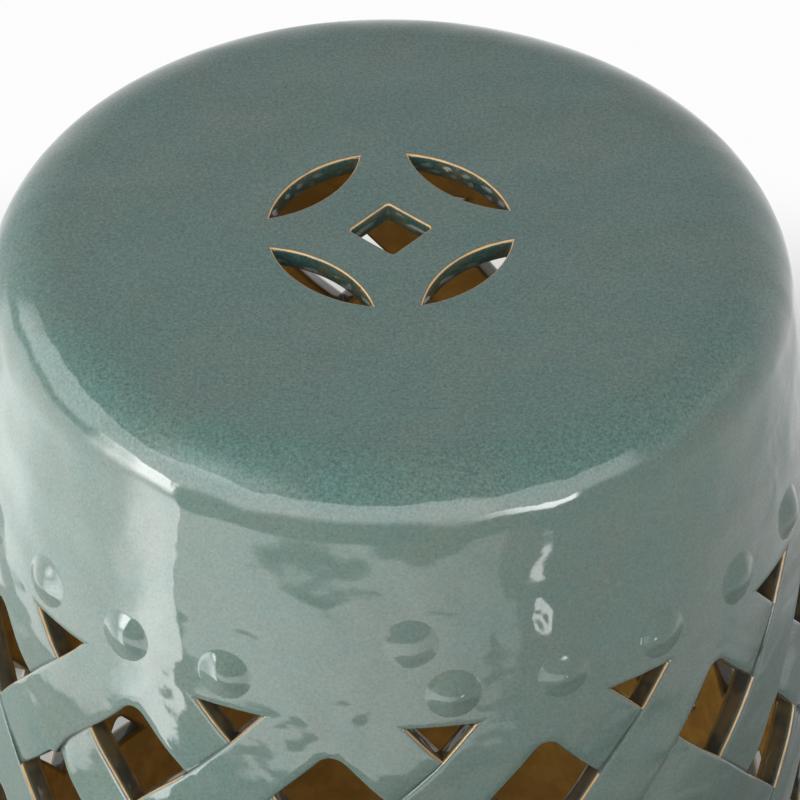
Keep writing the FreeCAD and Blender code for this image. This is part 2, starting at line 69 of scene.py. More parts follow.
# Sizes and colours that a user may change
class StoolSizes(bpy.types.PropertyGroup):
    """Sizes of the stool, in metres, and the colours of its glaze"""

    belly_radius: FloatProperty(
        name="Belly radius", description="Outside radius at half height",
        default=0.16585, unit="LENGTH",
    )
    wall_arc: FloatProperty(
        name="Wall arc", description="Radius of the arc that the wall follows upwards",
        default=1.155, unit="LENGTH",
    )
    wall: FloatProperty(
        name="Wall", description="Thickness of the clay wall", default=0.009, unit="LENGTH"
    )
    shoulder_radius: FloatProperty(
        name="Shoulder radius", description="Rounding between seat and wall",
        default=0.0285, unit="LENGTH",
    )
    base_round: FloatProperty(
        name="Base round", description="Rounding at the foot of the wall",
        default=0.005, unit="LENGTH",
    )
    pairs: IntProperty(
        name="Strap pairs", description="Straps in each direction", default=13, min=3
    )
    strap_width: FloatProperty(
        name="Strap width", description="Width across a strap", default=0.028, unit="LENGTH"
    )
    row_rise: FloatProperty(
        name="Row rise", description="Height from one row of crossings to the next",
        default=0.046, unit="LENGTH",
    )
    lattice_turn: FloatProperty(
        name="Lattice turn", description="Turn of the lattice from the front",
        default=math.radians(6.85), subtype="ANGLE",
    )
    upper_relief: FloatProperty(
        name="Upper relief", description="How deep a strap dives under the one above it",
        default=0.0026, unit="LENGTH",
    )
    lower_relief: FloatProperty(
        name="Lower relief", description="How deep a strap starts above the one it crossed",
        default=0.0014, unit="LENGTH",
    )
    coin_radius: FloatProperty(
        name="Coin radius", description="Radius of the circles that bound the petals",
        default=0.0446, unit="LENGTH",
    )
    petal_width: FloatProperty(
        name="Petal width", description="Width across the middle of a petal",
        default=0.0146, unit="LENGTH",
    )
    coin_square: FloatProperty(
        name="Coin square", description="Side of the square hole", default=0.0208, unit="LENGTH"
    )
    coin_turn: FloatProperty(
        name="Coin turn", description="Turn of the coin pattern",
        default=math.radians(3.6), subtype="ANGLE",
    )
    boss_width: FloatProperty(
        name="Boss width", description="Width of a domed boss at the wall",
        default=0.016, unit="LENGTH",
    )
    boss_rise: FloatProperty(
        name="Boss rise", description="How far a boss stands out", default=0.0033, unit="LENGTH"
    )
    glaze: FloatVectorProperty(
        name="Glaze", description="Green of the thick glaze",
        subtype="COLOR", default=(0.053, 0.129, 0.108),
    )
    glaze_blue: FloatVectorProperty(
        name="Glaze, blue", description="Bluish clouds and specks",
        subtype="COLOR", default=(0.048, 0.117, 0.109),
    )
    # Olive of the clouds, also cast over the whole wall as painted shade
    glaze_olive: FloatVectorProperty(
        name="Glaze, olive", description="Olive clouds",
        subtype="COLOR", default=(0.086, 0.122, 0.096),
    )
    lip: FloatVectorProperty(
        name="Lip", description="Tan clay showing through on cut edges",
        subtype="COLOR", default=(0.56, 0.36, 0.125),
    )
    fringe: FloatVectorProperty(
        name="Fringe", description="Brown line beside the tan lip",
        subtype="COLOR", default=(0.10, 0.065, 0.06),
    )
    amber: FloatVectorProperty(
        name="Amber", description="Brown glaze inside",
        subtype="COLOR", default=(0.56, 0.325, 0.075),
    )
    cut: FloatVectorProperty(
        name="Cut", description="Thin dark glaze on the cut faces",
        subtype="COLOR", default=(0.038, 0.038, 0.030),
    )
    clay: FloatVectorProperty(
        name="Clay", description="Bare fired clay of the foot",
        subtype="COLOR", default=(0.50, 0.36, 0.24),
    )


# Wall profile, shared by every piece

# Steps round the turned pieces
AROUND = 208
# Rows from the middle of the wall to the joint between the openwork and a collar
SEAM_ROWS = 3


def fan(start, end, steps):
    """Values at even steps from start to end, both included."""
    return [start + (end - start) * step / steps for step in range(steps + 1)]


class Wall:
    """The wall's arc, the shoulder and the base round, in metres."""

    def __init__(self, sizes):
        self.top = SEAT_HIGH.z
        self.middle = SEAT_HIGH.z / 2
        self.belly = sizes.belly_radius
        self.arc = sizes.wall_arc
        self.thickness = sizes.wall
        self.row = sizes.row_rise
        self.shoulder = sizes.shoulder_radius
        self.base_round = sizes.base_round
        self.base = FOOT_HIGH.z
        # A rounding that runs smoothly into the arc has its centre one radius below it
        self.seat_edge = self.radius(self.top - self.shoulder, self.shoulder)
        self.base_edge = self.radius(self.base + self.base_round, self.base_round)

    def radius(self, z, depth=0.0):
        """Distance from the axis to the wall arc, or to a depth below it, at a height."""
        return self.belly - self.arc + math.sqrt((self.arc - depth) ** 2 - (z - self.middle) ** 2)

    def normal(self, angle, z):
        """Outward normal of the wall arc."""
        rise = (z - self.middle) / self.arc
        run = math.sqrt(1 - rise**2)
        return Vector((run * math.cos(angle), run * math.sin(angle), rise))

    def point(self, angle, z, depth):
        """Point at a depth below the wall's outside, measured along its normal."""
        radius = self.radius(z)
        outside = Vector((radius * math.cos(angle), radius * math.sin(angle), z))
        return outside - self.normal(angle, z) * depth

    def level_point(self, angle, z, depth):
        """Point at a depth below the wall's outside, at exactly this height."""
        radius = self.radius(z) - depth / self.normal(0.0, z).x
        return Vector((radius * math.cos(angle), radius * math.sin(angle), z))

    def seam(self, side):
        """Height of the joint between the openwork and a collar: side is 1 above, -1 below."""
        return self.middle + side * SEAM_ROWS * self.row

    def slope_at(self, centre):
        """Slope at which a rounding about this centre runs into the wall arc."""
        return math.atan2(centre[1] - self.middle, centre[0] - (self.belly - self.arc))

    def height_at(self, slope, depth=0.0):
        """Height of the wall arc, or of a depth below it, where it has this slope."""
        return (self.arc - depth) * math.sin(slope) + self.middle

    def corner_points(self, centre, radius, start, end, steps):
        """Points (r, z) of a corner arc between two slopes given in radians."""
        return [
            (centre[0] + radius * math.cos(a), centre[1] + radius * math.sin(a))
            for a in fan(start, end, steps)
        ]

    def arc_points(self, low, high, steps, depth=0.0):
        """Points (r, z) on the wall arc, or at a depth below it, between two heights."""
        return [(self.radius(z, depth), z) for z in fan(low, high, steps)]


# Meshes and objects

# Vertex layers that the glaze reads
CUT_NAMES = ["cut_away", "cut_depth", "lip_sunk", "glaze_pool_and_shade"]
# Millimetres from a cut and below the outside, on clay that no cut reaches and on the inside
FAR_FROM_CUT = 50.0
INSIDE_DEPTH = 9.0
# Stands for the mesh's own normal
NO_NORMAL = (0.0, 0.0, 0.0)
# How well a face has to match the true normal, as a cosine
OUTER_MATCH = 0.8


def new_object(name, data):
    """Makes an object and puts it into the scene."""
    made = bpy.data.objects.new(name, data)
    bpy.context.scene.collection.objects.link(made)
    return made


def mesh_of(bm, name):
    """Turns a bmesh into a mesh."""
    mesh = bpy.data.meshes.new(name)
    bm.to_mesh(mesh)
    bm.free()
    return mesh


def added_verts(bm, mesh):
    """Adds a mesh to a bmesh and returns its vertices there."""
    start = len(bm.verts)
    bm.from_mesh(mesh)
    bm.verts.ensure_lookup_table()
    return bm.verts[start:]


def full_spin(bm, verts, edges, steps):
    """Turns a section once round the Z axis."""
    bmesh.ops.spin(
        bm, geom=verts + edges, cent=(0, 0, 0), axis=(0, 0, 1), angle=2 * math.pi,
        steps=steps, use_merge=True,
    )


def sharp_where(bm, is_sharp):
    for edge in bm.edges:
        if is_sharp(edge):
            edge.smooth = False


def outer_normal(true, face_normal, on_outside):
    """The true normal on a face that looks outwards, and the mesh's own on any other."""
    return tuple(true) if on_outside and true.dot(face_normal) > OUTER_MATCH else NO_NORMAL


def seam_normals(wall):
    """Normal rule of the pieces that meet at a seam, where both have the wall's own normal."""
    high, low = wall.seam(1), wall.seam(-1)

    def normal(co, face_normal):
        if min(abs(co.z - high), abs(co.z - low)) > TINY:
            return NO_NORMAL
        true = wall.normal(math.atan2(co.y, co.x), co.z)
        return outer_normal(true, face_normal, math.hypot(co.x, co.y) > wall.radius(co.z) - TINY)

    return normal


def finish_piece(name, bm, material, nodes, normal_rule=None):
    """Makes an object of a bmesh, smooth, with the true normals where a rule gives them."""
    mesh = mesh_of(bm, name)
    mesh.materials.append(material)
    mesh.shade_smooth()
    if normal_rule:
        mesh.normals_split_custom_set([
            normal_rule(mesh.vertices[index].co, polygon.normal)
            for polygon in mesh.polygons for index in polygon.vertices
        ])
    piece = new_object(name, mesh)
    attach(piece, BODY)
    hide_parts(*nodes)
    return piece


class CutLayers:
    """What the glaze reads at a vertex: mm away from a cut, mm below the outside, mm that the
    lip is sunk, and how much glaze has pooled, which the glaze darkens as painted crevice shade."""

    def __init__(self, bm):
        floats = bm.verts.layers.float
        self.away, self.depth, self.sunk, self.pool = [
            floats.get(name) or floats.new(name) for name in CUT_NAMES
        ]

    def mark(self, vert, away, depth, sunk=0.0):
        vert[self.away] = away
        vert[self.depth] = depth
        vert[self.sunk] = sunk


def turned_piece(name, outside, inside, material, nodes, normal_rule=None):
    """A ring whose section is its outside and inside lines, both from top to bottom."""
    bm = bmesh.new()
    layers = CutLayers(bm)
    corner = bm.verts.layers.int.new("corner")
    verts = []
    for line, depth in ((outside, 0.0), (inside[::-1], INSIDE_DEPTH)):
        for index, (r, z) in enumerate(line):
            vert = bm.verts.new((r, 0, z))
            layers.mark(vert, FAR_FROM_CUT, depth)
            vert[corner] = 1 if index in (0, len(line) - 1) else 0
            verts.append(vert)
    edges = [bm.edges.new((verts[i - 1], verts[i])) for i in range(len(verts))]
    full_spin(bm, verts, edges, AROUND)
    bmesh.ops.recalc_face_normals(bm, faces=bm.faces)
    sharp_where(bm, lambda e: all(v[corner] for v in e.verts) and on_one_circle(*e.verts))
    bm.verts.layers.int.remove(corner)
    return finish_piece(name, bm, material, nodes, normal_rule)


def on_one_circle(first, second):
    """Whether two vertices lie on one level circle about the axis."""
    level = abs(first.co.z - second.co.z) < TINY
    return level and abs(first.co.xy.length - second.co.xy.length) < TINY


# Seat

# Steps along half a petal's outline side and round a corner of the square
PETAL_STEPS = 22
SQUARE_STEPS = 4
SQUARE_CORNER = 0.0012
MITER_LIMIT = 0.5
# How level a face of the seat's top is, as a cosine
FLAT_NORMAL = 0.999
# Rounding of a cut edge, as (share of the radius away from the cut, share below the face)
LIP_PROFILE = [(1.0, 0.0), (0.62, 0.075), (0.293, 0.293), (0.075, 0.62), (0.0, 1.0)]


def lens_outline(coin, width, steps):
    """Points of one petal on the X axis, counter-clockwise."""
    spread = 2 * coin - width
    half = math.acos(spread / 2 / coin)
    outer = [(coin * math.cos(a), coin * math.sin(a)) for a in fan(-half, half, steps)]
    inner = [
        (spread + coin * math.cos(a), coin * math.sin(a))
        for a in fan(math.pi - half, math.pi + half, steps)
    ]
    return [Vector(p) for p in outer[:-1] + inner[:-1]]


def square_outline(side, corner, steps):
    """Points of a square with rounded corners, counter-clockwise."""
    points = []
    inset = side / 2 - corner
    for turn in range(4):
        middle = Matrix.Rotation(turn * math.pi / 2, 2) @ Vector((inset, inset))
        for angle in fan(turn * math.pi / 2, (turn + 1) * math.pi / 2, steps):
            points.append(middle + corner * Vector((math.cos(angle), math.sin(angle))))
    return points


def outward_offsets(points):
    """For each point of a hole's outline, the miter direction that points out of the hole."""
    offsets = []
    count = len(points)
    for index, point in enumerate(points):
        before = (point - points[index - 1]).normalized()
        after = (points[(index + 1) % count] - point).normalized()
        side = (Vector((before.y, -before.x)) + Vector((after.y, -after.x))).normalized()
        square = side.dot(Vector((after.y, -after.x)))
        offsets.append(side / max(square, MITER_LIMIT))
    return offsets


class SeatPlate:
    """Flat disc whose holes have rounded lips above and below."""

    # Radius of a lip, and the clay beside a hole that has grid lines of its own
    lip = 0.0011
    apron = 0.0022

    def __init__(self, radius, top, bottom, outlines):
        self.bm = bmesh.new()
        self.layers = CutLayers(self.bm)
        upper_rim, upper_cuts = self.skin(radius, outlines, top, -1)
        lower_rim, lower_cuts = self.skin(radius, outlines, bottom, 1)
        bmesh.ops.bridge_loops(self.bm, edges=upper_rim + lower_rim)
        for upper, lower in zip(upper_cuts, lower_cuts):
            bmesh.ops.bridge_loops(self.bm, edges=upper + lower)
        bmesh.ops.recalc_face_normals(self.bm, faces=self.bm.faces)

    def ring(self, points, z, away, depth):
        """A closed line of edges through points at one height."""
        verts = [self.bm.verts.new((p.x, p.y, z)) for p in points]
        for vert in verts:
            self.layers.mark(vert, away, depth)
        count = len(verts)
        return [self.bm.edges.new((verts[i], verts[(i + 1) % count])) for i in range(count)]

    def skin(self, radius, outlines, face, into):
        """One face of the disc: the edges of its rim and of each hole's lip.

        into is the sign of Z that leads into the clay.
        """
        rim_points = [
            Vector((radius * math.cos(a), radius * math.sin(a)))
            for a in fan(0, 2 * math.pi, AROUND)[:-1]
        ]
        depth_of_face = 0.0 if into < 0 else INSIDE_DEPTH
        rim = self.ring(rim_points, face, FAR_FROM_CUT, depth_of_face)
        stages = [(self.apron, 0.0)]
        stages += [(self.lip * away, self.lip * below) for away, below in LIP_PROFILE]
        borders = []
        cuts = []
        for outline in outlines:
            offsets = outward_offsets(outline)
            previous = None
            for away, below in stages:
                points = [p + o * away for p, o in zip(outline, offsets)]
                depth = below / MM if into < 0 else INSIDE_DEPTH - below / MM
                edges = self.ring(points, face + into * below, away / MM, depth)
                if previous:
                    bmesh.ops.bridge_loops(self.bm, edges=previous + edges)
                else:
                    borders += edges
                previous = edges
            cuts.append(previous)
        bmesh.ops.triangle_fill(self.bm, use_beauty=True, edges=rim + borders)
        return rim, cuts


def build_seat(wall, sizes, material):
    """Flat seat with the coin pattern: a square hole between four petals."""
    outlines = [square_outline(sizes.coin_square, SQUARE_CORNER, SQUARE_STEPS)]
    petal = lens_outline(sizes.coin_radius, sizes.petal_width, PETAL_STEPS)
    for quarter in range(4):
        rotation = Matrix.Rotation(quarter * math.pi / 2, 2)
        outlines.append([rotation @ p for p in petal])
    turn = Matrix.Rotation(math.pi / 4 + sizes.coin_turn, 2)
    turned = [[turn @ p for p in outline] for outline in outlines]
    plate = SeatPlate(wall.seat_edge, SEAT_HIGH.z, SEAT_LOW.z, turned)
    rim = wall.seat_edge - TINY
    sharp_where(plate.bm, lambda e: all(math.hypot(v.co.x, v.co.y) > rim for v in e.verts))

    def normal(co, face_normal):
        within = face_normal.z > FLAT_NORMAL or math.hypot(co.x, co.y) < rim
        return (0.0, 0.0, 1.0) if within and co.z > SEAT_HIGH.z - TINY else NO_NORMAL

    return finish_piece("seat_plate", plate.bm, material, ["seat_slab"], normal)


# Shoulder, lower band and foot

# Steps along the sections
SHOULDER_STEPS = 18
INNER_SHOULDER_STEPS = 8
UPPER_BAND_STEPS = 8
LOWER_BAND_STEPS = 10
INNER_BAND_STEPS = 4
BASE_STEPS = 6
FOOT_STEPS = 5
# Width of the foot ring, and the rounding of its lower edges
FOOT_WIDTH = 0.013
FOOT_EDGE = 0.002


def build_shoulder(wall, sizes, material):
    """Shoulder and plain band from the seat down to the openwork."""
    low = wall.seam(1)
    centre = (wall.seat_edge, wall.top - wall.shoulder)
    slope = wall.slope_at(centre)
    inner = wall.shoulder - wall.thickness
    outside = wall.corner_points(centre, wall.shoulder, math.pi / 2, slope, SHOULDER_STEPS)
    outside += wall.arc_points(wall.height_at(slope), low, UPPER_BAND_STEPS)[1:]
    inside = wall.corner_points(centre, inner, math.pi / 2, slope, INNER_SHOULDER_STEPS)
    inner_height = wall.height_at(slope, wall.thickness)
    inside += wall.arc_points(inner_height, low, INNER_BAND_STEPS, wall.thickness)[1:]

    def normal(co, face_normal):
        angle = math.atan2(co.y, co.x)
        radius = math.hypot(co.x, co.y)
        if co.z >= centre[1] + wall.shoulder * math.sin(slope) - TINY:
            away = Vector((radius - centre[0], co.z - centre[1]))
            on_outside = away.length > wall.shoulder - TINY
            away.normalize()
            true = Vector((math.cos(angle) * away.x, math.sin(angle) * away.x, away.y))
        else:
            on_outside = radius > wall.radius(co.z) - TINY
            true = wall.normal(angle, co.z)
        return outer_normal(true, face_normal, on_outside)

    nodes = ["upper_collar"]
    return turned_piece("shoulder", outside, inside, material, nodes, normal)


def build_lower_band(wall, sizes, material):
    """Plain band from the openwork down to the foot ring."""
    high = wall.seam(-1)
    centre = (wall.base_edge, wall.base + wall.base_round)
    slope = wall.slope_at(centre)
    outside = wall.arc_points(high, wall.height_at(slope), LOWER_BAND_STEPS)
    outside += wall.corner_points(centre, wall.base_round, slope, -math.pi / 2, BASE_STEPS)[1:]
    inside = wall.arc_points(high, wall.base, INNER_BAND_STEPS, wall.thickness)
    nodes, rule = ["lower_collar"], seam_normals(wall)
    return turned_piece("lower_band", outside, inside, material, nodes, rule)


def build_foot(wall, material):
    """Ring of bare clay that the stool stands on."""
    outer, inner, top = FOOT_HIGH.x, FOOT_HIGH.x - FOOT_WIDTH, FOOT_HIGH.z
    outer_corner = (outer - FOOT_EDGE, FOOT_EDGE)
    inner_corner = (inner + FOOT_EDGE, FOOT_EDGE)
    outside = wall.corner_points(outer_corner, FOOT_EDGE, 0, -math.pi / 2, FOOT_STEPS)
    inside = wall.corner_points(inner_corner, FOOT_EDGE, math.pi, 3 * math.pi / 2, FOOT_STEPS)
    outside.insert(0, (outer, top))
    inside.insert(0, (inner, top))
    return turned_piece("foot", outside, inside, material, ["foot_ring"])


# Openwork: one cut tile repeated round the wall, bent to it and dipped at each crossing

# Vertices closer than this become one
WELD = 2e-6
# How close to a seam an open edge lies that is closed there
RIM_REACH = 0.001
# Where a tile's grid lines lie: shares of half a hole's side, and shares of the rounding
SIDE_SHARES = [0.0, 0.018, 0.09, 0.21, 0.36, 0.55, 0.77, 1.0]
OUTER_RINGS = [0.0, 0.134, 0.5, 1.0, 2.1, 4.6]
INNER_RINGS = [0.0, 0.3, 1.0]
# Levels of a cut face, as shares of the wall's thickness
CUT_LEVELS = [0.33, 0.67, 1.0]
# Where the strap above ends, the glaze rolls over, and the lip lies this far below, in mm
LIP_SUNK = 1.3
# How close to a hole's corner both of its sides count
CORNER_SHARE = 0.01
# How far pooled glaze and painted crevice shade reach beside a strap's end and beside an edge, and
# how deep the crevice is
POOL_SHADE_REACH = 0.0016
POOL_SHADE_EDGE = 0.0005
CREVICE = 0.00035
# Wander of the hand-cut edges, the span of its waves, and the rows over which it ends at a seam
DRIFT = 0.0016
DRIFT_SPAN = 0.032
DRIFT_END = 0.5
DRIFT_SEED = 5


class Weave:
    """Sizes of the weave. Tile lengths run across the straps; one hole is in a tile's middle."""

    # Rounding of a strap's edge at a hole, above the strap and below it
    upper_edge = 0.0020
    lower_edge = 0.0010
    # Length of a strap's dip, and its share of the depth along the strap's upper edge
    ramp = 0.013
    upper_side_share = 0.35
    corner_round = 0.0075

    def __init__(self, wall, sizes):
        self.wall = wall
        self.pairs = sizes.pairs
        self.pitch = 2 * math.pi / sizes.pairs
        self.row = sizes.row_rise
        self.turn = sizes.lattice_turn - math.pi / 2
        lead = self.pitch / 2 / self.row
        slope = math.atan(1 / (lead * wall.belly))
        self.strap = sizes.strap_width
        self.half = self.pitch * wall.belly * math.sin(slope) / 2
        self.hole = self.half - self.strap / 2
        self.upper_relief = sizes.upper_relief
        self.lower_relief = sizes.lower_relief
        self.collar_gap = SEAM_ROWS - (COLLAR_LOW.z - wall.middle) / self.row

    def lines(self, rings, low_edge, high_edge):
        """Places of the tile's grid lines across a strap, a hole's side and the next strap."""
        low = [-self.half] + [-self.hole - share * low_edge for share in reversed(rings)]
        near = [share * self.hole - self.hole for share in SIDE_SHARES]
        far = [self.hole - share * self.hole for share in reversed(SIDE_SHARES)]
        high = [self.hole + share * high_edge for share in rings] + [self.half]
        return low + near[1:] + far[1:] + high[1:]

    def over(self, crossing):
        """Which straps go over in a row: 1 rises to the right, 2 to the left, 0 is flush."""
        if abs(crossing) >= SEAM_ROWS:
            return 0
        return 1 if crossing % 2 == 0 else 2

    def edge(self, above):
        """Rounding beside a hole, of a strap that lies above it or not."""
        return self.upper_edge if above else self.lower_edge

    def hole_distance(self, u, v):
        """Distance from the hole's outline, positive in the clay."""
        x, y = abs(u) - self.hole, abs(v) - self.hole
        return math.hypot(x, y) if x > 0 and y > 0 else max(x, y)

    def upper_share(self, u, v):
        """1 beside the upper sides of a hole, 0 beside the lower ones and half between them."""
        u, v = u / self.hole, v / self.hole
        upper_left, upper_right = float(u < 0), float(v > 0)
        if abs(abs(u) - abs(v)) < CORNER_SHARE:
            return (upper_left + upper_right) / 2
        return upper_left if abs(u) > abs(v) else upper_right

    def on_hole(self, co):
        """Whether a place of the outer skin lies on the hole's outline."""
        return abs(max(abs(co.x), abs(co.y)) - self.hole) < TINY and co.z > -TINY


def build_openwork(wall, sizes, material):
    """The woven wall: rows of one tile, welded to each other and closed at both seams."""
    weave = Weave(wall, sizes)
    tile = make_tile(weave)
    noise.seed_set(DRIFT_SEED)
    bm = bmesh.new()
    for row in range(-SEAM_ROWS, SEAM_ROWS + 1):
        for index in range(weave.pairs):
            verts = added_verts(bm, tile)
            layers = CutLayers(bm)
            for vert in verts:
                place_on_wall(weave, layers, vert, row, row + 1 + 2 * index)
    bpy.data.meshes.remove(tile)
    bmesh.ops.remove_doubles(bm, verts=bm.verts, dist=WELD)
    for side in (1, -1):
        close_rim(bm, wall.seam(side))
    return finish_piece("openwork_wall", bm, material, STRAPS, seam_normals(wall))


def close_rim(bm, height):
    """Closes the wall between its outer and inner skin at a seam."""
    rim = [
        e for e in bm.edges
        if e.is_boundary and all(abs(v.co.z - height) < RIM_REACH for v in e.verts)
    ]
    bmesh.ops.bridge_loops(bm, edges=rim)
    for e in rim:
        e.smooth = False


def make_tile(weave):
    """Outer skin, inner skin and cut faces of one tile, flat, with its depth as -Z."""
    bm = bmesh.new()
    layers = CutLayers(bm)
    thickness = weave.wall.thickness
    tile_skin(weave, bm, OUTER_RINGS, weave.upper_edge, weave.lower_edge)
    loop = [e for e in bm.edges if all(weave.on_hole(v.co) for v in e.verts)]
    for level in CUT_LEVELS:
        depth = thickness * level
        made = bmesh.ops.extrude_edge_only(bm, edges=loop)["geom"]
        for item in made:
            if isinstance(item, bmesh.types.BMVert):
                item.co.z = -depth
        loop = [
            item for item in made if isinstance(item, bmesh.types.BMEdge)
            and all(v.co.z < TINY - depth for v in item.verts)
        ]
    inner = tile_skin(weave, bm, INNER_RINGS, weave.lower_edge, weave.lower_edge)
    faces = {face for vert in inner for face in vert.link_faces}
    for vert in inner:
        vert.co.z = -thickness
    bmesh.ops.reverse_faces(bm, faces=list(faces))
    bmesh.ops.remove_doubles(bm, verts=bm.verts, dist=TINY)
    for vert in bm.verts:
        u, v, z = vert.co
        away = max(weave.hole_distance(u, v), 0.0)
        layers.mark(vert, away / MM, -z / MM, LIP_SUNK * weave.upper_share(u, v))
    return mesh_of(bm, "tile")


def tile_skin(weave, bm, rings, low_edge, high_edge):
    """A grid with the hole's faces taken out. Returns its vertices."""
    lines = weave.lines(rings, low_edge, high_edge)
    count = len(lines) - 1
    made = bmesh.ops.create_grid(bm, x_segments=count, y_segments=count, size=1.0)["verts"]
    for vert in made:
        column = round((vert.co.x + 1) / 2 * count)
        line = round((vert.co.y + 1) / 2 * count)
        vert.co = Vector((lines[column], -lines[count - line], 0.0))
    inside = {
        face for vert in made for face in vert.link_faces
        if max(abs(c) for c in face.calc_center_median()[:2]) < weave.hole
    }
    bmesh.ops.delete(bm, geom=list(inside), context="FACES")
    return [vert for vert in made if vert.is_valid]


def lip_drop(away, radius):
    """How far a rounded edge has dropped at a distance from the cut."""
    if away >= radius:
        return 0.0
    return radius - math.sqrt(max(radius**2 - (radius - away) ** 2, 0.0))


class StrapPlace:
    """A place on a strap: along it from the middle of a hole's side, away from the hole, and
    whether it lies above the hole."""

    def __init__(self, weave, family, along, away, above, row):
        self.weave = weave
        self.family = family
        self.along = along
        self.away = max(away, 0.0)
        self.above = above
        self.row = row

    def lip(self):
        """Drop of the rounded edge at the hole."""
        return lip_drop(self.away, self.weave.edge(self.above))

    def share(self):
        """Share of the dip, which is deepest along the strap's lower edge."""
        across = self.away if self.above else self.weave.strap - self.away
        return 1 - (1 - self.weave.upper_side_share) * across / self.weave.strap

    def relief(self, end):
        """Depth of the dip at an end: 1 is where the strap goes under, -1 where it comes out."""
        return self.share() * (self.weave.upper_relief if end > 0 else self.weave.lower_relief)

    def steps(self):
        """Each end where this strap goes under, with the distance to the edge above it."""
        for end in (1, -1):
            crossing = self.row + (1 if self.above else 0) + (0 if end > 0 else -1)
            if self.weave.over(crossing) not in (0, self.family):
                yield end, self.weave.hole - end * self.along

    def surface(self):
        """Depth of the strap between two crossings, and its pooled glaze with painted crevice
        shade.
        """
        depth, pool = 0.0, 0.0
        for end, distance in self.steps():
            left = max(1 - distance / self.weave.ramp, 0.0)
            depth = max(depth, self.relief(end) * left**2 * (3 - left) / 2)
            pool = max(pool, self.share() * (1 - distance / POOL_SHADE_REACH))
        return depth + self.lip(), pool


def outer_surface(weave, u, v, row):
    """Depth of the outer skin below the wall's face in a tile, and its pooled glaze with painted
    crevice shade.
    """
    over_u = abs(u) - weave.hole
    over_v = abs(v) - weave.hole
    right = StrapPlace(weave, 1, v, over_u, u < 0, row)
    left = StrapPlace(weave, 2, -u, over_v, v > 0, row)
    if over_u > -TINY and over_v > -TINY:
        crossing = row + (1 if v > 0 else 0) - (1 if u > 0 else 0)
        return crossing_surface(weave, right, left, crossing)
    return (right if over_u > -TINY else left).surface()


def crossing_surface(weave, right, left, crossing):
    """Where straps cross: the upper one's edge, no deeper than the crevice over the lower."""
    family = weave.over(crossing)
    if family == 0:
        together = right.away + left.away
        share = right.away / together if together > 0 else 0.5
        radius = weave.edge(right.above) * share + weave.edge(left.above) * (1 - share)
        return lip_drop(math.hypot(right.away, left.away), radius), 0.0
    over, under = (right, left) if family == 1 else (left, right)
    depth = min(over.lip(), under.relief(under.along) + under.lip() + CREVICE)
    # Pooled glaze with painted crevice shade along the upper strap's edge
    return depth, under.share() * (1 - over.away / POOL_SHADE_EDGE)


def place_on_wall(weave, layers, vert, row, centre):
    """Moves a vertex of the flat tile to the wall. centre counts half tiles round it."""
    wall = weave.wall
    u, v, z = vert.co
    skin, pool = outer_surface(weave, u, v, row)
    # Pooled glaze with painted crevice shade, for the glaze to read
    vert[layers.pool] = max(pool, 0.0)
    lift = lip_drop(max(weave.hole_distance(u, v), 0.0), weave.lower_edge)
    depth = skin + (wall.thickness - lift - skin) * (-z / wall.thickness)
    ds, dt = tile_place(weave, *rounded_corner(weave, u, v, row), row)
    angle, height = drifted(weave, weave.turn + (centre + ds) * weave.pitch / 2, row + dt)
    at_seam = abs(dt + row) > SEAM_ROWS - TINY
    point = wall.level_point if at_seam else wall.point
    vert.co = point(angle, height, depth)


def drifted(weave, angle, rows):
    """Angle and height of a place, moved a little as in clay that was cut by hand."""
    height = weave.wall.middle + rows * weave.row
    place = weave.wall.point(angle, height, 0.0) / DRIFT_SPAN
    hold = min((SEAM_ROWS - abs(rows)) / DRIFT_END, 1.0)
    move = noise.noise_vector(place) * DRIFT * hold
    return angle + move.x / weave.wall.belly, height + move.y


def rounded_corner(weave, u, v, row):
    """Draws the top corner of a full hole to a round, and the clay beside it less and less."""
    along_top, along_side = u + weave.hole, weave.hole - v
    along = max(along_top, along_side, 0.0)
    reach = weave.corner_round
    if row == SEAM_ROWS or along >= reach:
        return u, v
    outside = math.hypot(min(along_top, 0.0), min(along_side, 0.0))
    share = max(1 - outside / (2 * reach), 0.0) ** 2
    turn = math.pi / 4 * (1 - along / reach)
    slide = (reach - reach * math.sin(turn) - along) * share
    inward = (reach - reach * math.cos(turn)) * share
    return (u + slide, v - inward) if along_top > along_side else (u + inward, v - slide)


def tile_place(weave, u, v, row):
    """Steps from a tile's centre to its place: along in half pitches, and up in rows."""
    u, v = u / weave.half, v / weave.half
    if row == SEAM_ROWS:
        return end_row_place(weave, u, v)
    if row == -SEAM_ROWS:
        ds, dt = end_row_place(weave, v, u)
        return ds, -dt
    return (u + v) / 2, (v - u) / 2


def end_row_place(weave, u, v):
    """Squeezes the upper half of a tile under the seam: a triangle with a level top is left."""
    hole = weave.hole / weave.half
    gap = weave.collar_gap
    near, far = (1 - hole) / 2, (1 + hole) / 2
    keys = [-1.0, -hole, hole, 1.0]
    places = [
        [(-1, 0), (-far, 0), (-near, 0), (0, 0)],
        [(-far, -near), (gap - hole, -gap), (0, -gap), (near, 0)],
        [(-near, -far), (0, -hole), (hole - gap, -gap), (far, 0)],
        [(0, -1), (near, -far), (far, -near), (1, 0)],
    ]
    i = block_of(keys, u)
    j = block_of(keys, v)
    a = (u - keys[i]) / (keys[i + 1] - keys[i])
    b = (v - keys[j]) / (keys[j + 1] - keys[j])
    corners = [Vector(places[i + p][j + q]) for p in (0, 1) for q in (0, 1)]
    low = corners[0].lerp(corners[2], a)
    high = corners[1].lerp(corners[3], a)
    return tuple(low.lerp(high, b))


def block_of(keys, value):
    """Which span between two keys a value lies in."""
    for index in range(len(keys) - 2):
        if value < keys[index + 1]:
            return index
    return len(keys) - 2


# Bosses

BOSS_STEPS = 12
BOSS_SIDES = 28
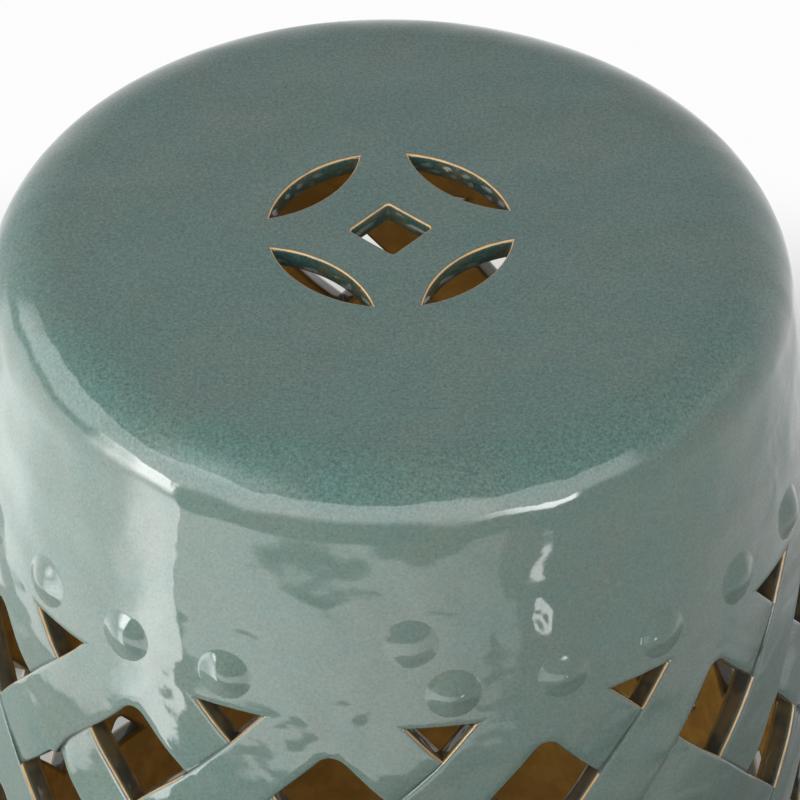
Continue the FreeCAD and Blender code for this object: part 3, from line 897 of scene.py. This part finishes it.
# Clay drawn up beside a boss, and the power of its bell-shaped section
BOSS_SKIRT = 0.0028
BOSS_POWER = 1.6
# Depth of its hidden underside, and of its thin edge under the glaze
BOSS_ROOT = 0.0006
BOSS_SUNK = 0.00012
# The one boss that sits apart: which, its turn, its lift and its share of the others' relief
STRAY_ANGLE = math.radians(-97.0)
STRAY_TURN = math.radians(9.5)
STRAY_LIFT = 0.022
STRAY_SHARE = 0.4
STRAY_REACH = math.radians(5.0)
# Two bosses of the CAD node are at least this far apart
ISLAND_GAP = math.radians(2.0)


def boss_section(width, rise, steps):
    """Points (distance, height) from a boss's crown to the wall and back under the glaze."""
    spread = width / 2 + BOSS_SKIRT
    points = []
    for distance in fan(0, spread, steps):
        bell = max(1 - (distance / spread) ** 2, 0.0) ** BOSS_POWER
        points.append((distance, (rise + BOSS_SUNK) * bell - BOSS_SUNK))
    return points + [(spread, -BOSS_ROOT), (0.0, -BOSS_ROOT)]


def boss_mesh(sizes):
    """One boss about the Z axis, as a closed shell."""
    bm = bmesh.new()
    section = boss_section(sizes.boss_width, sizes.boss_rise, BOSS_STEPS)
    verts = [bm.verts.new((distance, 0, height)) for distance, height in section]
    edges = [bm.edges.new(pair) for pair in zip(verts, verts[1:])]
    full_spin(bm, verts, edges, BOSS_SIDES)
    bmesh.ops.remove_doubles(bm, verts=bm.verts, dist=TINY)
    layers = CutLayers(bm)
    for vert in bm.verts:
        layers.mark(vert, FAR_FROM_CUT, 0.0)
    return mesh_of(bm, "boss")


def boss_angles(node):
    """Angles of the bosses, from the loose islands of the CAD node."""
    angles = sorted(math.atan2(v.co.y, v.co.x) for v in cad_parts[node].data.vertices)
    groups = [[angles[0]]]
    for angle in angles[1:]:
        if angle - groups[-1][-1] > ISLAND_GAP:
            groups.append([])
        groups[-1].append(angle)
    if len(groups) > 1 and groups[0][0] + 2 * math.pi - groups[-1][-1] < ISLAND_GAP:
        groups[0] += [angle - 2 * math.pi for angle in groups.pop()]
    return [(min(group) + max(group)) / 2 for group in groups]


def build_bosses(name, node, wall, sizes, material, stray_angle=None):
    """The row of one CAD node, in which the boss nearest to a stray angle sits apart."""
    low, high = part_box(node)
    row_height = (low.z + high.z) / 2
    one = boss_mesh(sizes)
    bm = bmesh.new()
    for angle in boss_angles(node):
        height, share = row_height, 1.0
        if stray_angle is not None and abs(angle - stray_angle) < STRAY_REACH:
            angle, height, share = angle + STRAY_TURN, row_height + STRAY_LIFT, STRAY_SHARE
        for vert in added_verts(bm, one):
            x, y, rise = vert.co
            depth = -rise * (share if rise > 0 else 1.0)
            vert.co = wall.point(angle + x / wall.radius(height), height + y, depth)
    bmesh.ops.recalc_face_normals(bm, faces=bm.faces)
    bpy.data.meshes.remove(one)

    def normal(co, face_normal):
        """At the edge of a boss, the wall's own normal."""
        true = wall.normal(math.atan2(co.y, co.x), co.z)
        flush = abs(co.xy.length - wall.radius(co.z) + BOSS_SUNK) < 2 * TINY
        return outer_normal(true, face_normal, flush)

    return finish_piece(name, bm, material, [node], normal)


# Materials

# Where the glaze changes: heights in metres, depths below the outside in mm, and distances
# from the edge of a lip in mm
SEAT_STARTS = (0.440, 0.450)
DENTS_END = (0.405, 0.435)
CUT_STARTS = (0.9, 1.6)
INSIDE_STARTS = (7.6, 9.0)
LIP_ENDS = (0.26, 0.50)
FRINGE_ENDS = (0.50, 1.05)


class Maths:
    """A number socket of a node tree. Arithmetic on it adds Math nodes."""

    def __init__(self, nodes, socket):
        self.nodes = nodes
        self.socket = socket

    def join(self, operation, first, second, clamp=False):
        settings = {"operation": operation, "use_clamp": clamp}
        node = self.nodes.add("ShaderNodeMath", settings, [first, second])
        return Maths(self.nodes, node.outputs[0])

    def __add__(self, other):
        return self.join("ADD", self, other)

    def __radd__(self, other):
        return self.join("ADD", other, self)

    def __sub__(self, other):
        return self.join("SUBTRACT", self, other)

    def __rsub__(self, other):
        return self.join("SUBTRACT", other, self)

    def __mul__(self, other):
        return self.join("MULTIPLY", self, other)

    def __rmul__(self, other):
        return self.join("MULTIPLY", other, self)

    def over(self, start, end):
        """0 below start and 1 above end, with a smooth rise between."""
        settings = {"interpolation_type": "SMOOTHSTEP"}
        node = self.nodes.add("ShaderNodeMapRange", settings, [self, start, end, 0.0, 1.0])
        return Maths(self.nodes, node.outputs[0])


class Nodes:
    """The node tree of a material, a lamp or the world, with its shader."""

    def __init__(self, owner, shader="Principled BSDF"):
        owner.use_nodes = True
        self.tree = owner.node_tree
        self.shader = self.tree.nodes[shader]
        self.place = self.add("ShaderNodeTexCoord").outputs["Object"]

    def add(self, kind, settings=None, inputs=()):
        """Adds a node, sets its settings and then its inputs: values, sockets or Maths."""
        node = self.tree.nodes.new(kind)
        for key, value in (settings or {}).items():
            setattr(node, key, value)
        pairs = inputs.items() if isinstance(inputs, dict) else enumerate(inputs)
        for key, value in pairs:
            self.feed(node.inputs[key], value)
        return node

    def feed(self, socket, value):
        """Links a socket to another, or sets its number, vector or colour."""
        if isinstance(value, Maths):
            value = value.socket
        if isinstance(value, bpy.types.NodeSocket):
            self.tree.links.new(value, socket)
        else:
            socket.default_value = (*value, 1.0) if socket.type == "RGBA" else value

    def set(self, **values):
        """Feeds the shader's own sockets, whose names have _ for a space."""
        for name, value in values.items():
            self.feed(self.shader.inputs[name.replace("_", " ")], value)

    def attribute(self, name):
        return Maths(self, self.add("ShaderNodeAttribute", {"attribute_name": name}).outputs["Fac"])

    def parts(self, vector):
        """The X, Y and Z of a vector."""
        outputs = self.add("ShaderNodeSeparateXYZ", None, [vector]).outputs
        return [Maths(self, socket) for socket in outputs]

    def root(self, value):
        return Maths(self, self.add("ShaderNodeMath", {"operation": "SQRT"}, [value]).outputs[0])

    def noise(self, size, detail=2.0, roughness=0.5, distortion=0.0, seed=0.0):
        """Noise whose features are about this many metres across."""
        place = self.place
        if seed:
            shift = (seed, seed * 0.7, seed * 1.3)
            adder = self.add("ShaderNodeVectorMath", {"operation": "ADD"}, [place, shift])
            place = adder.outputs[0]
        node = self.add("ShaderNodeTexNoise", None, {
            "Vector": place, "Scale": 1 / size, "Detail": detail, "Roughness": roughness,
            "Distortion": distortion,
        })
        return Maths(self, node.outputs["Fac"])

    def mix(self, share, first, second):
        """Mixes two colours."""
        inputs = {0: share, 6: first, 7: second}
        return self.add("ShaderNodeMix", {"data_type": "RGBA"}, inputs).outputs[2]

    def scaled(self, colour, factor):
        """A colour made lighter or darker."""
        inputs = {0: colour, "Scale": factor}
        return self.add("ShaderNodeVectorMath", {"operation": "SCALE"}, inputs).outputs[0]

    def bump(self, height, distance):
        return self.add("ShaderNodeBump", None, {"Height": height, "Distance": distance}).outputs[0]


def glaze_material(sizes):
    """Celadon over an amber underglaze, thin and tan along every cut edge."""
    material = bpy.data.materials.new(GLAZE)
    n = Nodes(material)
    away = n.attribute("cut_away")
    depth = n.attribute("cut_depth")
    sunk = depth - n.attribute("lip_sunk")
    pool = n.attribute("glaze_pool_and_shade").over(0.05, 0.75)
    x, _, height = n.parts(n.place)
    on_seat = height.over(*SEAT_STARTS)
    in_cut = depth.over(*CUT_STARTS)
    inside = depth.over(*INSIDE_STARTS)
    colour = clouded_colour(n, sizes, on_seat)
    cut = cut_colour(n, sizes, colour, on_seat, inside, away)
    wander = n.noise(0.006, 2.0, 0.5, seed=1.7) - 0.5
    reach = n.root(away * away + sunk * sunk) + wander * 0.30 - on_seat * 0.35 + 0.13
    # Tan clay at the lips, painted lighter on the seat and darker on the wall as painted light and
    # shade
    lip = n.scaled(sizes.lip, on_seat * 0.40 + 0.80)
    # Pooled glaze in the crevices beside the straps' steps, darkened to a fifth as painted shade
    colour = n.mix(pool * 0.85, colour, n.scaled(colour, 0.2))
    colour = n.mix(in_cut, colour, cut)
    colour = n.mix((1 - reach.over(*FRINGE_ENDS)) * 0.8, colour, sizes.fringe)
    colour = n.mix(1 - reach.over(*LIP_ENDS), colour, lip)
    normal = glaze_relief(n, x, height)
    n.set(Base_Color=colour, Normal=normal, Roughness=0.5, Specular_IOR_Level=0.05)
    coat = 1 - in_cut * 0.4 - inside * 0.3 - pool * 0.5
    n.set(Coat_Weight=coat, Coat_Roughness=0.07, Coat_IOR=1.62, Coat_Normal=normal)
    return material


def clouded_colour(n, sizes, on_seat):
    """The thick glaze: green under olive and blue clouds, with dark specks and a fine grain, an
    olive cast of painted shade on the wall and a slight painted light on the seat.
    """
    cloud = n.noise(0.045, 3.0, 0.55)
    veil = n.noise(0.016, 3.0, 0.6, seed=3.1)
    mottle = n.noise(0.0042, 2.0, 0.6, seed=5.3)
    speck = n.noise(0.0011, 1.0, 0.5, seed=8.7)
    grain = n.noise(0.0012, 2.0, 0.85, seed=7.9)
    # Olive clouds, and an olive cast over the whole wall that is painted shade
    olive = cloud.over(0.40, 0.64) * (on_seat * 0.15 + 0.25) + (1 - on_seat) * 0.65
    colour = n.mix(olive, sizes.glaze, sizes.glaze_olive)
    blue = veil.over(0.45, 0.68) * 0.30 + mottle.over(0.48, 0.66) * (on_seat * 0.22 + 0.2)
    colour = n.mix(blue, colour, sizes.glaze_blue)
    dark = speck.over(0.56, 0.70) * 0.38 + mottle.over(0.55, 0.75) * 0.10
    colour = n.mix(dark, colour, n.scaled(colour, 0.62))
    # Fine grain, and the seat painted a little lighter than the wall as painted light
    light = (grain - 0.5) * (on_seat * 1.3 + 1.0) + on_seat * 0.03 + 0.94
    return n.scaled(colour, light)


def cut_colour(n, sizes, colour, on_seat, inside, away):
    """The cut faces: thin dark glaze streaked with amber, and amber alone on the inside, darkened
    towards the cut edges as painted shade.
    """
    streak = n.noise(0.010, 2.0, 0.6, seed=2.9)
    amber_dark = n.scaled(sizes.amber, 0.5)
    amber = n.mix(streak.over(0.35, 0.7) * 0.5 + 0.5, amber_dark, sizes.amber)
    # Painted shade: the amber darkened towards a cut, to a third at its edge
    amber = n.scaled(amber, away.over(0.0, 2.5) * 0.7 + 0.3)
    thick = n.mix(on_seat, sizes.cut, n.scaled(colour, 0.62))
    streaked = n.mix(streak.over(0.4, 0.65) * 0.2, thick, amber_dark)
    return n.mix(inside, streaked, amber)


def glaze_relief(n, x, height):
    """Normal of the glaze: waves, thumb dents away from the shoulder, ripples and fine peel."""
    dented = (1 - height.over(*DENTS_END)) * (x.over(-0.10, -0.04) * 0.75 + 0.25)
    wave = n.noise(0.034, 1.0, 0.4, seed=6.1)
    dent = n.noise(0.016, 1.0, 0.5, distortion=0.5, seed=2.3)
    ripple = n.noise(0.011, 1.0, 0.4, seed=4.4)
    peel = n.noise(0.0022, 1.0, 0.5, seed=9.2)
    return n.bump(wave + dent * dented * 0.30 + ripple * 0.09 + peel * 0.005, 0.0024)


def clay_material(sizes):
    """Bare fired clay, gritty and faintly stained."""
    material = bpy.data.materials.new(CLAY)
    n = Nodes(material)
    grain = n.noise(0.0009, 3.0, 0.7)
    stain = n.noise(0.02, 3.0, 0.6, seed=4.0)
    stained = stain.over(0.4, 0.75) * 0.6 + grain.over(0.55, 0.75) * 0.3
    colour = n.mix(stained, sizes.clay, n.scaled(sizes.clay, 0.6))
    n.set(Base_Color=colour, Roughness=0.9, Normal=n.bump(grain, 0.0003))
    return material


def material_of(maker, name, sizes):
    """The material of this name, made at its first use."""
    return bpy.data.materials.get(name) or maker(sizes)


# Stage

FLOOR_SIZE = 4.0
FLOOR_GREY = (0.58, 0.58, 0.58)
# Distances from the stool's axis between which the floor turns near white
FLOOR_WHITE = (0.42, 0.66)
IMAGE_SIZE = 800.0
SENSOR = 36.0
FOCAL_PIXELS = 5258.6
CAMERA_DISTANCE = 1.9107
CAMERA_ELEVATION = math.radians(38.36)
CAMERA_ROLL = math.radians(-0.32)
CAMERA_SIGHT = 20.0
SEAT_CENTRE_PIXEL = (390.565, 228.514)
WORLD_LEVEL = 0.41
WHITE = (1.0, 1.0, 1.0)
# Fade of an edge that stays sharp
CRISP = 0.03
LAMPS = [
    # name, azimuth, distance, low, high, width, brightness, fades
    ("left_wall", -88.0, 0.52, 0.01, 0.485, 0.80, 1.45, (0.2, 0.15, CRISP, 0.1)),
    ("high_far_left", -92.0, 0.46, 0.50, 0.700, 0.49, 2.3, (0.3, 0.23, 0.2, CRISP)),
    ("high_left", -46.0, 0.46, 0.48, 0.715, 0.49, 2.7, (0.23, 0.23, 0.3, CRISP)),
    ("high_front", -2.0, 0.46, 0.485, 0.750, 0.49, 2.5, (0.23, 0.23, 0.3, CRISP)),
    ("high_right", 42.0, 0.46, 0.485, 0.715, 0.49, 2.0, (0.23, 0.35, 0.3, CRISP)),
    ("right", 86.0, 0.62, 0.48, 0.70, 0.56, 0.25, (0.3, 0.3, 0.5, CRISP)),
    ("low_front", -8.0, 0.60, 0.02, 0.27, 1.20, 1.35, (0.08, 0.72, CRISP, 0.2)),
    ("low_front_edge", -12.0, 0.60, 0.02, 0.24, 0.97, 0.55, (0.08, 0.02, CRISP, CRISP)),
    ("strip_left", -58.0, 0.52, 0.01, 0.42, 0.20, 4.6, (0.85, CRISP, CRISP, 0.2)),
    ("hot_left", -61.0, 0.53, 0.38, 0.55, 0.25, 11.0, (0.6, CRISP, 0.5, 0.1)),
    ("hot_right", 29.0, 0.55, 0.485, 0.555, 0.336, 11.0, (0.8, 0.1, 0.3, CRISP)),
    ("streak_right", 33.5, 0.56, 0.175, 0.240, 0.04, 5.0, (0.3, 0.2, 0.2, 0.2)),
]
# name, place, size, brightness, fades
OVERHEAD = ("overhead", (-0.50, -0.42, 0.93), 0.7, 1.75, (0.5, 0.5, 0.5, 0.5))


def seen_straight(n):
    """1 for rays that show the surroundings: camera, mirror and glass rays."""
    path = n.add("ShaderNodeLightPath").outputs
    camera, glossy, glass = [
        Maths(n, path[name]) for name in ("Is Camera Ray", "Is Glossy Ray", "Is Transmission Ray")
    ]
    both = camera + glossy
    return both.join("ADD", both, glass, clamp=True)


def floor_material():
    """Matt pale floor that a straight look sees as near white, with the shadow kept."""
    material = bpy.data.materials.new("pale floor")
    n = Nodes(material)
    n.set(Base_Color=FLOOR_GREY, Roughness=0.9, Specular_IOR_Level=0.0)
    glow = n.add("ShaderNodeEmission", None, {"Color": WHITE, "Strength": 1.0})
    away = n.add("ShaderNodeVectorMath", {"operation": "LENGTH"}, [n.place]).outputs["Value"]
    share = seen_straight(n) * (Maths(n, away).over(*FLOOR_WHITE) * 0.97)
    shaders = [share, n.shader.outputs[0], glow.outputs[0]]
    mixed = n.add("ShaderNodeMixShader", None, shaders)
    n.feed(n.tree.nodes["Material Output"].inputs["Surface"], mixed.outputs[0])
    return material


def make_floor():
    """The level floor that the stool stands on."""
    bm = bmesh.new()
    bmesh.ops.create_grid(bm, x_segments=1, y_segments=1, size=FLOOR_SIZE)
    mesh = mesh_of(bm, "floor")
    mesh.materials.append(floor_material())
    new_object("floor", mesh)


def make_camera():
    """Camera of the photograph: the seat's centre falls on its pixel."""
    target = Vector((0, 0, SEAT_HIGH.z))
    back = Vector((0, -math.cos(CAMERA_ELEVATION), math.sin(CAMERA_ELEVATION)))
    data = bpy.data.cameras.new("camera")
    data.sensor_width = SENSOR
    data.lens = FOCAL_PIXELS * SENSOR / IMAGE_SIZE
    data.clip_end = CAMERA_SIGHT
    camera = new_object("camera", data)
    level = (-back).to_track_quat("-Z", "Y")
    across = SEAT_CENTRE_PIXEL[0] - IMAGE_SIZE / 2
    up = IMAGE_SIZE / 2 - SEAT_CENTRE_PIXEL[1]
    seen = Vector((across, up, -FOCAL_PIXELS)).normalized()
    aim = Vector((0, 0, -1)).rotation_difference(seen) @ Quaternion((0, 0, 1), CAMERA_ROLL)
    turn = (level @ aim.inverted()).to_matrix().to_4x4()
    camera.matrix_world = Matrix.Translation(target + back * CAMERA_DISTANCE) @ turn
    bpy.context.scene.camera = camera


def panel(name, width, height, brightness, fades):
    """An area lamp.

    The fades are the shares over which it dims to its left, right, lower and upper edges.
    """
    data = bpy.data.lights.new(name, "AREA")
    data.shape = "RECTANGLE"
    data.size = width
    data.size_y = height
    data.energy = brightness * math.pi * width * height
    n = Nodes(data, "Emission")
    across, up = n.parts(n.add("ShaderNodeNewGeometry").outputs["Parametric"])[:2]
    left, right, lower, upper = fades
    sideways = across.over(0, left) * (1 - across).over(0, right)
    n.set(Strength=sideways * up.over(0, lower) * (1 - up).over(0, upper))
    lamp = new_object(name, data)
    lamp.visible_camera = False
    return lamp


def softbox(name, azimuth, distance, low, high, width, brightness, fades):
    """An upright panel that faces the axis. Azimuth 0 is in front and grows to the right."""
    lamp = panel(name, width, high - low, brightness, fades)
    turn = math.radians(azimuth)
    middle = (low + high) / 2
    lamp.location = (distance * math.sin(turn), -distance * math.cos(turn), middle)
    lamp.rotation_euler = (math.pi / 2, 0, turn)


def make_overhead(name, place, size, brightness, fades):
    """A level panel above the seat."""
    panel(name, size, size, brightness, fades).location = place


def make_world():
    """Even grey light, from surroundings that look white."""
    world = bpy.data.worlds.new("surroundings")
    n = Nodes(world, "Background")
    n.set(Color=WHITE, Strength=seen_straight(n) * (1 - WORLD_LEVEL) + WORLD_LEVEL)
    bpy.context.scene.world = world


# Operators
class StoolOperator:
    """What the stool's operators share."""

    bl_options = {"REGISTER", "UNDO"}

    def setup(self, context):
        """The wall, the sizes and the glaze that most pieces are built from."""
        sizes = context.scene.stool_sizes
        return Wall(sizes), sizes, material_of(glaze_material, GLAZE, sizes)


class STOOL_OT_seat(StoolOperator, bpy.types.Operator):
    """Build the flat seat with its coin pattern"""

    bl_idname = "stool.seat"
    bl_label = "Seat"

    def execute(self, context):
        build_seat(*self.setup(context))
        return {"FINISHED"}


class STOOL_OT_shoulder(StoolOperator, bpy.types.Operator):
    """Build the rounded shoulder and the plain band under it"""

    bl_idname = "stool.shoulder"
    bl_label = "Shoulder"

    def execute(self, context):
        build_shoulder(*self.setup(context))
        return {"FINISHED"}


class STOOL_OT_openwork(StoolOperator, bpy.types.Operator):
    """Build the woven openwork wall"""

    bl_idname = "stool.openwork"
    bl_label = "Openwork wall"

    def execute(self, context):
        build_openwork(*self.setup(context))
        return {"FINISHED"}


class STOOL_OT_lower_band(StoolOperator, bpy.types.Operator):
    """Build the plain band above the foot"""

    bl_idname = "stool.lower_band"
    bl_label = "Lower band"

    def execute(self, context):
        build_lower_band(*self.setup(context))
        return {"FINISHED"}


class STOOL_OT_bosses(StoolOperator, bpy.types.Operator):
    """Build both rows of domed bosses"""

    bl_idname = "stool.bosses"
    bl_label = "Bosses"

    def execute(self, context):
        setup = self.setup(context)
        build_bosses("bosses_above", "upper_bosses", *setup, STRAY_ANGLE)
        build_bosses("bosses_below", "lower_bosses", *setup)
        return {"FINISHED"}


class STOOL_OT_foot(StoolOperator, bpy.types.Operator):
    """Build the bare clay foot ring"""

    bl_idname = "stool.foot"
    bl_label = "Foot ring"

    def execute(self, context):
        wall, sizes = self.setup(context)[:2]
        build_foot(wall, material_of(clay_material, CLAY, sizes))
        return {"FINISHED"}


class STOOL_OT_stage(bpy.types.Operator):
    """Set up the floor, the lamps, the surroundings and the camera"""

    bl_idname = "stool.stage"
    bl_label = "Stage"

    def execute(self, context):
        make_floor()
        make_world()
        for lamp in LAMPS:
            softbox(*lamp)
        make_overhead(*OVERHEAD)
        make_camera()
        context.scene.view_settings.view_transform = "Standard"
        return {"FINISHED"}


class STOOL_PT_sidebar(bpy.types.Panel):
    """The stool's pieces and sizes"""

    bl_idname = "STOOL_PT_sidebar"
    bl_label = "Garden stool"
    bl_space_type = "VIEW_3D"
    bl_region_type = "UI"
    bl_category = "Stool"

    def draw(self, context):
        column = self.layout.column(align=True)
        for operator in OPERATORS:
            column.operator(operator.bl_idname)
        for name in StoolSizes.__annotations__:
            self.layout.prop(context.scene.stool_sizes, name)


OPERATORS = [
    STOOL_OT_seat, STOOL_OT_shoulder, STOOL_OT_openwork, STOOL_OT_lower_band,
    STOOL_OT_bosses, STOOL_OT_foot, STOOL_OT_stage,
]
CLASSES = [StoolSizes] + OPERATORS + [STOOL_PT_sidebar]


def register():
    for item in CLASSES:
        bpy.utils.register_class(item)
    bpy.types.Scene.stool_sizes = PointerProperty(type=StoolSizes)


def unregister():
    del bpy.types.Scene.stool_sizes
    for item in reversed(CLASSES):
        bpy.utils.unregister_class(item)


def main():
    register()
    bpy.ops.stool.seat()
    bpy.ops.stool.shoulder()
    bpy.ops.stool.openwork()
    bpy.ops.stool.lower_band()
    bpy.ops.stool.bosses()
    bpy.ops.stool.foot()
    bpy.ops.stool.stage()


if __name__ == "__main__":
    main()
